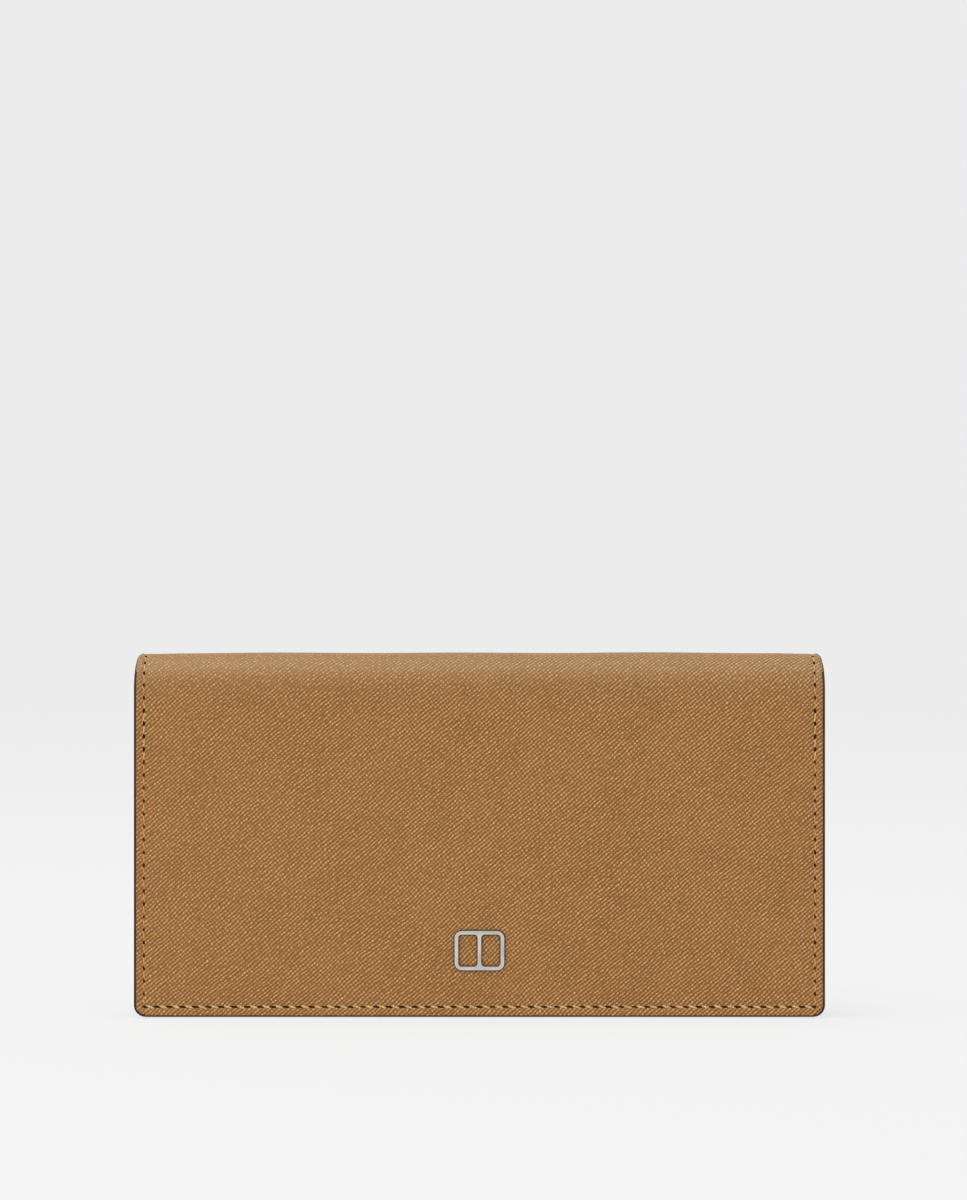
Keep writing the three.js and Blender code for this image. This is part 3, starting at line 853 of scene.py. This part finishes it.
def sheet_seam(length_of_cover, depth_of, outward):
    """Threads and needle holes on one length of the sheet."""
    first, last = span_of(*length_of_cover[3:])
    inset, pitch, width = stitching().inset, stitching().pitch, stitching().width
    draw = random.Random(11)
    threads, holes = [], []
    for x, s, along_side in seam_stations():
        jitter = draw.uniform(-1, 1)
        if not first <= s < last:
            continue
        tacked = along_side and TACK_FROM < SHEET_LENGTH - s < TACK_TO
        lean = (0.10 if along_side else 0.30) * (1 if outward else -1)
        here, along, side, out = sheet_frame(x, s, depth_of, along_side, outward)
        size = (0.55, 0.36, 0.06) if along_side else (1.00, 0.34, 0.06)
        if not outward:
            size = (0.40, 0.26, 0.05)
        swell = 1.35 if tacked else 1.0 + 0.12 * jitter
        holes.append((here, *turned(along, side, lean * 0.4), out, np.array(size) * MM * swell))

        middle = (x, s + pitch / 2) if along_side else (x + pitch / 2, s)
        if middle[1] > SHEET_LENGTH - inset or middle[0] > HALF_WIDTH - inset:
            continue
        here, along, side, out = sheet_frame(*middle, depth_of, along_side, outward)
        if along_side:
            size = (pitch * 0.38, width / 2 * 0.6, 0.26 * MM * 0.62)
        else:
            size = (pitch * 0.34, width / 2 * 1.5, 0.26 * MM)
        axes = turned(along, side, lean + 0.05 * jitter)
        threads.append((here, *axes, out, np.array(size)))
        if tacked:
            size = (pitch * 0.44, width * 0.42, 0.2 * MM)
            axes = turned(along, side, -2.2 * lean)
            threads.append((here + out * 0.1 * MM, *axes, out, np.array(size)))
    return threads, holes


def straight_seam(start, end, facing):
    """Threads and holes in a straight row. facing is -1 on a front face and 1 on a back one."""
    start, end, out = np.array(start), np.array(end), np.array((0.0, facing, 0.0))
    span = np.linalg.norm(end - start)
    along = (end - start) / span
    side = np.cross(out, along)
    steps = max(2, round(span / POCKET_PITCH))
    step = span / steps
    hole_size = np.array((0.28, 0.19, 0.05)) * MM
    thread_size = np.array((step * 0.40, POCKET_THREAD / 2, 0.15 * MM))
    holes = [(start + along * step * i, along, side, out, hole_size) for i in range(steps + 1)]
    axes = turned(along, side, 0.12)
    threads = [
        (hole[0] + along * step / 2, *axes, out, thread_size) for hole in holes[:-1]
    ]
    return threads, holes


def seam_pieces(name, rows, place):
    """The thread and the needle holes of some rows, each as one piece."""
    shape = bead_shape()
    for i, (label, material) in enumerate((("thread", "thread"), ("holes", "needle_hole"))):
        copies = [copy for row in rows for copy in row[i]]
        piece = copy_shapes(f"{name}_{label}", shape, copies, material)
        place(piece)
    bpy.data.meshes.remove(shape)


# ------------------------------------------------------------------ depths of the two sheets
def cover_depth(x, s):
    return -relief(x, s)


def lining_depth(x, s):
    """The lining's shown side: it closes on the cover towards the stitched edge."""
    d = edge_distance(x, s)
    closed = leather().thickness + leather().lining + 0.06 * MM
    return closed + (LINING_INNER - closed) * ease((d - 1.2 * MM) / (3.4 * MM))


# The nodes that each length of a sheet stands for, with "cover" or "lining" in the braces.
SHEET_NODES = {
    "back": ("back_{}",),
    "fold_rear": ("spine_{}_1",),
    "fold_front": ("spine_{}_2",),
    "flap": ("spine_{}_3", "flap_{}"),
}


def lay_sheet(kind, depth_of, thickness, outward, material):
    for part in LENGTHS:
        piece = sheet_piece(
            f"{kind}_{part[0]}", part, depth_of, thickness, outward, (material, "edge_paint")
        )
        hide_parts(*(name.format(kind) for name in SHEET_NODES[part[0]]))


class WALLET_OT_cover(bpy.types.Operator):
    """Makes the crosshatch leather of the cover, over the fold and down the flap"""

    bl_idname = "wallet.cover"
    bl_label = "Cover"

    def execute(self, context):
        thickness = leather().thickness
        lay_sheet("cover", cover_depth, thickness, True, "cover_leather")
        return {"FINISHED"}


class WALLET_OT_lining(bpy.types.Operator):
    """Makes the smooth leather that lines the cover"""

    bl_idname = "wallet.lining"
    bl_label = "Lining"

    def execute(self, context):
        thickness = leather().lining
        lay_sheet("lining", lining_depth, thickness, False, "inside_leather")
        return {"FINISHED"}


class WALLET_OT_boards(bpy.types.Operator):
    """Finishes the boards between the cover and its lining"""

    bl_idname = "wallet.boards"
    bl_label = "Boards"

    def execute(self, context):
        for node, body in (("back_board", "back"), ("flap_board", "flap")):
            refine(node, "pressed_board", 0.1 * MM, "board", body)
        return {"FINISHED"}


class WALLET_OT_stitching(bpy.types.Operator):
    """Sews the seam round the cover, outside and inside"""

    bl_idname = "wallet.stitching"
    bl_label = "Cover stitching"

    def execute(self, context):
        for part in LENGTHS:
            for side, depth_of in (("outer", cover_depth), ("inner", lining_depth)):
                rows = [sheet_seam(part, depth_of, side == "outer")]
                seam_pieces(f"seam_{side}_{part[0]}", rows, lambda piece: bend(piece))
        return {"FINISHED"}


# ------------------------------------------------------------------ pockets
def shown_face(node, facing):
    low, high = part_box(node)
    return low.y if facing < 0 else high.y


def panel_piece(name, node, body, facing, slot="slot_leather"):
    """A panel of a pocket with a turned, creased top edge. facing is -1 or 1, front or back."""
    low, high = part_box(node)
    half, bottom, top = high.x, low.z, high.z
    near = np.array([0, 0.15, 0.35, 0.7, 1.1, 1.45, 1.7, 1.95, 2.3, 3, 4.5, 7]) * MM
    middle = np.linspace(8 * MM - half, half - 8 * MM, 41)
    across = np.concatenate((near - half, middle, (half - near)[::-1]))
    middle = np.linspace(bottom + 4 * MM, top - 8 * MM, 13)
    along = np.concatenate((bottom + near[:5], middle, (top - near)[::-1]))
    obj, x, z = grid(name, across if facing < 0 else -across, along)
    down = top - z
    from_side = half - np.abs(x)
    crease = -0.09 * MM * np.exp(-(((down - 1.7 * MM) / (0.28 * MM)) ** 2))
    groove = -0.06 * MM * np.exp(-(((from_side - POCKET_INSET) / (0.5 * MM)) ** 2))
    swell = 0.05 * MM * np.exp(-(((down - 0.8 * MM) / (0.6 * MM)) ** 2))
    x = narrowed(x, down, half, 1.4 * MM, 6 * MM)
    place_points(obj, x, shown_face(node, facing) + facing * (crease + groove + swell), z)
    set_uv(obj, x, z)
    give(obj, "inside_leather")
    thickness = (high.y - low.y) * 0.9
    apply_modifier(obj, "SOLIDIFY", thickness=thickness, offset=-1, use_rim=True)
    apply_modifier(
        obj, "BEVEL", width=0.11 * MM, segments=2, limit_method="ANGLE",
        angle_limit=math.radians(60),
    )
    smooth(obj)
    mount(obj, body, slot, node)


def slot_seams(names, facing, floor, row_height, middle_from=0.0):
    """Seams down the sides and middle of a stack of slots, and a row along its lower edge."""
    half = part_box(names[0])[1].x - POCKET_INSET
    tops = [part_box(name)[1].z for name in names]
    rows = []
    for name, top, bottom in zip(names, tops, tops[1:] + [floor]):
        y = shown_face(name, facing) + facing * THREAD_LIFT
        for x, start in ((-half, bottom), (0.0, max(bottom, middle_from)), (half, bottom)):
            low, high = (x, y, start + 0.8 * MM), (x, y, top - 0.9 * MM)
            rows.append(straight_seam(low, high, facing))
    rows.append(straight_seam((-half, y, row_height), (half, y, row_height), facing))
    return rows


class WALLET_OT_card_block(bpy.types.Operator):
    """Makes the card slots and the sheet behind them, with their seams"""

    bl_idname = "wallet.card_block"
    bl_label = "Card slots"

    def execute(self, context):
        names = [f"card_slot_{i}" for i in range(1, 5)]
        panel_piece("card_backing_panel", "card_backing", "card_block", -1, "twill")
        for name in names:
            panel_piece(f"{name}_panel", name, "card_block", -1)
        rows = slot_seams(names, -1, 4 * MM, 3 * MM, SNAP_HIGH.z + 2 * MM)
        seam_pieces("card_block_seams", rows, lambda piece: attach(piece, "card_block"))
        return {"FINISHED"}


class WALLET_OT_flap_slots(bpy.types.Operator):
    """Makes the card slots inside the flap, with their seams"""

    bl_idname = "wallet.flap_slots"
    bl_label = "Flap slots"

    def execute(self, context):
        names = [f"flap_slot_{i}" for i in range(1, 4)]
        for name in names:
            panel_piece(f"{name}_panel", name, "flap", 1)
        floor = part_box(names[0])[0].z
        rows = slot_seams(names, 1, floor + 2.4 * MM, floor + 2.2 * MM)
        seam_pieces("flap_slot_seams", rows, lambda piece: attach(piece, "flap"))
        return {"FINISHED"}


class WALLET_OT_gussets(bpy.types.Operator):
    """Makes the side gussets of the note pockets"""

    bl_idname = "wallet.gussets"
    bl_label = "Gussets"

    def execute(self, context):
        pairs = (("rear", "back", "coin_pocket"), ("front", "coin_pocket", "card_block"))
        for place, behind, ahead in pairs:
            for side in ("left", "right"):
                self.gusset(f"{place}_gusset_{side}", behind, ahead)
        return {"FINISHED"}

    def gusset(self, node, behind, ahead):
        low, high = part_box(node)
        toward = 1 if low.x > 0 else -1
        outer = high.x if toward > 0 else low.x
        depth = (high.x - low.x) - 0.3 * MM
        stations = np.linspace(-1, 1, 25), np.linspace(low.z, high.z, 25)
        obj, fold, height = grid(f"{node}_strip", *stations)
        x = outer - toward * depth * (1 - np.abs(fold) ** 1.15)
        reach = (high.y - low.y) / 2 - 0.16 * MM
        middle = (high.y + low.y) / 2
        y = middle - fold * reach
        drop = 2.5 * MM * (1 - np.abs(fold)) * ease((height - low.z) / (high.z - low.z))
        place_points(obj, x, y, height - drop)
        set_uv(obj, x, height)
        give(obj, "inside_leather")
        apply_modifier(obj, "SOLIDIFY", thickness=0.3 * MM, offset=0, use_rim=True)
        repair(obj)
        smooth(obj, 50)
        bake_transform(obj)
        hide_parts(node)


class WALLET_OT_coin_pocket(bpy.types.Operator):
    """Makes the coin pocket's walls and bag, and the folds that close the note pockets"""

    bl_idname = "wallet.coin_pocket"
    bl_label = "Coin pocket"

    def execute(self, context):
        panel_piece("coin_panel_rear_wall", "coin_panel_rear", "coin_pocket", 1, "twill")
        panel_piece("coin_panel_front_wall", "coin_panel_front", "coin_pocket", -1, "twill")
        refine("coin_lining", "twill_cloth", 0.08 * MM, "twill", "coin_pocket")
        refine("rear_pocket_floor", "twill_cloth", 0.25 * MM, "twill", "back")
        refine("front_pocket_floor", "twill_cloth", 0.25 * MM, "twill", "coin_pocket")
        rows = []
        for node, facing in (("coin_panel_rear", 1), ("coin_panel_front", -1)):
            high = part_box(node)[1]
            y = shown_face(node, facing) + facing * THREAD_LIFT
            z, reach = high.z - 3.2 * MM, high.x - 6 * MM
            rows.append(straight_seam((-reach, y, z), (reach, y, z), facing))
        seam_pieces("coin_pocket_seams", rows, lambda piece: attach(piece, "coin_pocket"))
        return {"FINISHED"}


def tooth_shape():
    """One tooth of the zip, a rounded block two across in each direction."""
    deselect()
    bpy.ops.mesh.primitive_cube_add(size=2)
    obj = bpy.context.object
    apply_modifier(obj, "BEVEL", width=0.45, segments=1, limit_method="NONE")
    shape = obj.data
    bpy.data.objects.remove(obj)
    return shape


class WALLET_OT_zip(bpy.types.Operator):
    """Makes the zip: tapes, interlocked teeth, stops, end tabs, slider and pull"""

    bl_idname = "wallet.zip"
    bl_label = "Zip"

    def execute(self, context):
        shape = tooth_shape()
        pitch = fittings().tooth
        middle = (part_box("zip_coil_rear")[1].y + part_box("zip_coil_front")[0].y) / 2
        for place, side in (("rear", 1), ("front", -1)):
            low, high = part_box(f"zip_coil_{place}")
            root = high.y if side > 0 else low.y
            tip = middle - side * 0.10 * MM
            size = np.array((pitch * 0.23, abs(root - tip) / 2, (high.z - low.z) / 2 * 0.98))
            copies = []
            for i in range(int((high.x - low.x) / pitch) - 1):
                x = low.x + pitch * (i + (0.5 if side > 0 else 1.0))
                origin = np.array((x, (root + tip) / 2, (low.z + high.z) / 2))
                copies.append((origin, *np.eye(3), size))
            teeth = copy_shapes(f"zip_teeth_{place}", shape, copies, "coil_nylon")
            mount(teeth, "coin_pocket", "zip_coil", f"zip_coil_{place}")
            refine(f"zip_tape_{place}", "tape_cloth", 0.08 * MM, "zip_tape", "coin_pocket")
        bpy.data.meshes.remove(shape)
        for place in ("left", "right"):
            refine(f"zip_stop_{place}", "plated_nickel", 0.12 * MM, "nickel", "coin_pocket")
            refine(f"zip_tab_{place}", "inside_leather", 0.3 * MM, "slot_leather", "coin_pocket")
        refine("zip_slider", "plated_nickel", 0.14 * MM, "nickel", "slider")
        refine("zip_pull", "plated_nickel", 0.2 * MM, "nickel", "pull")
        return {"FINISHED"}


class WALLET_OT_snap(bpy.types.Operator):
    """Finishes the two halves of the magnetic snap"""

    bl_idname = "wallet.snap"
    bl_label = "Snap"

    def execute(self, context):
        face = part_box("card_slot_4")[0].y
        cup = (
            (0, 0), (6.6, 0), (6.88, -0.07), (7, -0.3), (7, -1.2), (6.93, -1.45), (6.75, -1.62),
            (6.45, -1.68), (5.2, -1.66), (4.7, -1.70), (4.3, -1.79), (3.8, -1.79), (3.52, -1.74),
            (3.4, -1.6), (3.42, -1.47), (3.6, -1.45), (6.65, -1.45), (6.65, -0.35), (0, -0.35),
        )
        socket = lathe("snap_socket_cup", cup, face, "plated_nickel")
        low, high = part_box("snap_magnet")
        deep, outer, inner = (high.y - low.y) / MM, high.x / MM, 3.6
        ring = (
            (inner + 0.15, 0), (outer - 0.1, 0), (outer, -0.1), (outer, 0.1 - deep),
            (outer - 0.1, -deep), (inner + 0.15, -deep), (inner, 0.15 - deep), (inner, -0.15),
            (inner + 0.15, 0),
        )
        magnet = lathe("snap_magnet_ring", ring, high.y, "dark_magnet")
        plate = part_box("flap_slot_1")[0].y - 0.1 * MM
        tip = (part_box("snap_stud")[1].y - plate) / MM
        button = (
            (0, 0), (6.1, 0), (6.4, 0.08), (6.5, 0.3), (6.42, 0.55), (6.2, 0.7), (5.8, 0.76),
            (4.4, 0.80), (3.9, 0.80), (3.45, 0.86), (3.1, 1.05), (3, 1.3), (3, tip - 0.35),
            (2.9, tip - 0.12), (2.65, tip), (0.9, tip), (0.6, tip - 0.08), (0, tip - 0.1),
        )
        stud = lathe("snap_stud_button", button, plate, "plated_nickel")
        for piece, node, slot, body in (
            (socket, "snap_socket", "nickel", "card_block"),
            (magnet, "snap_magnet", "magnet", "card_block"),
            (stud, "snap_stud", "nickel", "flap"),
        ):
            mount(piece, body, slot, node)
        spread, half_thick, half_wide = 4 * MM, 0.25 * MM, 1.1 * MM
        legs = (
            ("snap_socket", face - 0.2 * MM, SNAP_HIGH.y, "card_block"),
            ("snap_stud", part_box("snap_stud")[0].y, plate + 0.3 * MM, "flap"),
        )
        for node, front, rear, body in legs:
            for side, x in (("left", -spread), ("right", spread)):
                leg = block(
                    f"{node}_leg_{side}", (x - half_thick, front, SNAP_Z - half_wide),
                    (x + half_thick, rear, SNAP_Z + half_wide), 0.12 * MM, "plated_nickel",
                )
                mount(leg, body, "nickel")
        refine("snap_socket_washer", "plated_nickel", 0.08 * MM, "nickel", "card_block")
        refine("snap_stud_washer", "plated_nickel", 0.08 * MM, "nickel", "flap")
        return {"FINISHED"}


def rounded_outline(x0, x1, z0, z1, radius):
    """Points round a rectangle with round corners."""
    points = []
    corners = ((x1, z1, 0), (x0, z1, 1), (x0, z0, 2), (x1, z0, 3))
    for x, z, turn in corners:
        cx = x - math.copysign(radius, x - (x0 + x1) / 2)
        cz = z - math.copysign(radius, z - (z0 + z1) / 2)
        for step in range(9):
            angle = (turn + step / 8) * math.pi / 2
            points.append((cx + radius * math.cos(angle), cz + radius * math.sin(angle)))
    return points


class WALLET_OT_emblem(bpy.types.Operator):
    """Makes the plain openwork emblem, and the posts and washers that hold it"""

    bl_idname = "wallet.emblem"
    bl_label = "Emblem"

    def execute(self, context):
        low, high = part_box("emblem")
        bar, corner, bevel = 1.5 * MM, 2.2 * MM, 0.42 * MM
        proud = FLAP_LOW.y - low.y
        outlines = [rounded_outline(low.x, high.x, low.z, high.z, corner)]
        for x0, x1 in ((low.x + bar, -bar / 2), (bar / 2, high.x - bar)):
            outlines.append(rounded_outline(x0, x1, low.z + bar, high.z - bar, corner - bar))
        curve = bpy.data.curves.new("emblem_frame", "CURVE")
        curve.dimensions, curve.fill_mode = "2D", "BOTH"
        curve.extrude, curve.bevel_depth, curve.offset = proud / 2 - bevel, bevel, -bevel
        curve.bevel_resolution = 4
        for outline in outlines:
            spline = curve.splines.new("POLY")
            spline.points.add(len(outline) - 1)
            for point, (x, z) in zip(spline.points, outline):
                point.co = (x, z, 0, 1)
            spline.use_cyclic_u = True
        obj = bpy.data.objects.new("emblem_frame", curve)
        context.scene.collection.objects.link(obj)
        activate(obj)
        bpy.ops.object.convert(target="MESH")
        obj = context.object
        obj.rotation_euler = (math.pi / 2, 0, 0)
        obj.location = (0, low.y + proud / 2, 0)
        bpy.ops.object.transform_apply(location=True, rotation=True, scale=True)
        repair(obj)
        give(obj, "emblem_nickel")
        smooth(obj, 40)
        mount(obj, "flap", "nickel", "emblem")
        for place, side in (("left", -1), ("right", 1)):
            x, half = side * (high.x - bar / 2), 0.5 * MM
            post = block(
                f"emblem_post_{place}", (x - half, low.y + proud / 2, SNAP_Z - half),
                (x + half, high.y, SNAP_Z + half), 0.2 * MM, "plated_nickel",
            )
            mount(post, "flap", "nickel")
            refine(f"emblem_washer_{place}", "plated_nickel", 0.06 * MM, "nickel", "flap")
        return {"FINISHED"}


# ------------------------------------------------------------------ stage
def stage_material():
    material = bpy.data.materials.new("seamless_backdrop")
    material.use_nodes = True
    tree = material.node_tree
    tree.nodes.clear()
    base = bpy.context.scene.wallet_stage.floor
    diffuse = put(tree, "ShaderNodeBsdfDiffuse", {"Color": base})
    glow = put(tree, "ShaderNodeEmission", {"Color": base, "Strength": 1.0})
    mixed = put(tree, "ShaderNodeMixShader", {0: 0.82, 1: diffuse.outputs[0], 2: glow.outputs[0]})
    output = put(tree, "ShaderNodeOutputMaterial")
    tree.links.new(mixed.outputs[0], output.inputs[0])
    return material


def add_light(name, location, target, size, power, tint=(1, 1, 1)):
    data = bpy.data.lights.new(name, "AREA")
    data.shape = "RECTANGLE"
    data.size, data.size_y = size
    data.energy = power
    data.color = tint
    obj = bpy.data.objects.new(name, data)
    bpy.context.scene.collection.objects.link(obj)
    obj.location = location
    direction = (Vector(target) - Vector(location)).normalized()
    obj.rotation_euler = direction.to_track_quat("-Z", "Y").to_euler()
    return obj


class WALLET_OT_stage(bpy.types.Operator):
    """Sets the seamless floor, the soft lights and the camera"""

    bl_idname = "wallet.stage"
    bl_label = "Stage"

    def execute(self, context):
        settings = context.scene.wallet_stage
        self.backdrop()
        self.lights(context.scene)
        data = bpy.data.cameras.new("camera")
        camera = bpy.data.objects.new("camera", data)
        context.scene.collection.objects.link(camera)
        camera.location = (settings.aside, FLAP_LOW.y - settings.distance, settings.height)
        camera.rotation_euler = (math.pi / 2, 0, 0)
        data.lens = data.sensor_width * settings.distance / settings.view
        data.clip_start, data.clip_end = 0.01, 50
        context.scene.camera = camera
        return {"FINISHED"}

    def backdrop(self):
        """A floor that sweeps up behind the wallet."""
        half, far, radius, height = 6.0, 3.0, 1.5, 5.0
        angles = np.linspace(0, math.pi / 2, 17)
        profile = [(-6.0, 0.0), (far, 0.0)]
        profile += [(far + radius * math.sin(a), radius - radius * math.cos(a)) for a in angles[1:]]
        profile.append((far + radius, height))
        points = [(x, y, z) for y, z in profile for x in (-half, half)]
        faces = [(2 * i, 2 * i + 1, 2 * i + 3, 2 * i + 2) for i in range(len(profile) - 1)]
        mesh = bpy.data.meshes.new("backdrop")
        mesh.from_pydata(points, [], faces)
        obj = bpy.data.objects.new("backdrop", mesh)
        bpy.context.scene.collection.objects.link(obj)
        mesh.materials.append(stage_material())
        smooth(obj, 30)

    def lights(self, scene):
        world = bpy.data.worlds.new("studio")
        world.use_nodes = True
        background = world.node_tree.nodes["Background"]
        background.inputs["Color"].default_value = (1, 1, 1, 1)
        background.inputs["Strength"].default_value = 0.75
        scene.world = world
        add_light("overhead", (-0.25, -0.25, 1.5), (0, 0, 0.05), (1.4, 1.0), 13)
        add_light("front_soft", (-1.3, -1.4, 0.6), (0, 0, 0.05), (1.0, 1.0), 5)
        scene.view_settings.view_transform = "Standard"
        scene.view_settings.look = "None"


class WALLET_PT_panel(bpy.types.Panel):
    """Lists the steps that build the wallet"""

    bl_idname = "WALLET_PT_panel"
    bl_label = "Long Wallet"
    bl_space_type = "VIEW_3D"
    bl_region_type = "UI"
    bl_category = "Wallet"

    def draw(self, context):
        for step in STEPS:
            self.layout.operator(step.bl_idname)
        for group in SETTINGS:
            settings = getattr(context.scene, group)
            for name in settings.__annotations__:
                self.layout.prop(settings, name)


SETTINGS = {
    "wallet_leather": WalletLeather,
    "wallet_stitching": WalletStitching,
    "wallet_fittings": WalletFittings,
    "wallet_stage": WalletStage,
}
STEPS = (
    WALLET_OT_stage,
    WALLET_OT_cover,
    WALLET_OT_lining,
    WALLET_OT_boards,
    WALLET_OT_stitching,
    WALLET_OT_card_block,
    WALLET_OT_flap_slots,
    WALLET_OT_gussets,
    WALLET_OT_coin_pocket,
    WALLET_OT_zip,
    WALLET_OT_snap,
    WALLET_OT_emblem,
)


def register():
    for name, group in SETTINGS.items():
        bpy.utils.register_class(group)
        setattr(bpy.types.Scene, name, bpy.props.PointerProperty(type=group))
    for step in STEPS:
        bpy.utils.register_class(step)
    bpy.utils.register_class(WALLET_PT_panel)


def unregister():
    bpy.utils.unregister_class(WALLET_PT_panel)
    for step in reversed(STEPS):
        bpy.utils.unregister_class(step)
    for name, group in reversed(list(SETTINGS.items())):
        delattr(bpy.types.Scene, name)
        bpy.utils.unregister_class(group)


def main():
    register()
    for step in STEPS:
        family, name = step.bl_idname.split(".")
        getattr(getattr(bpy.ops, family), name)()
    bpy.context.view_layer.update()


if __name__ == "__main__":
    main()
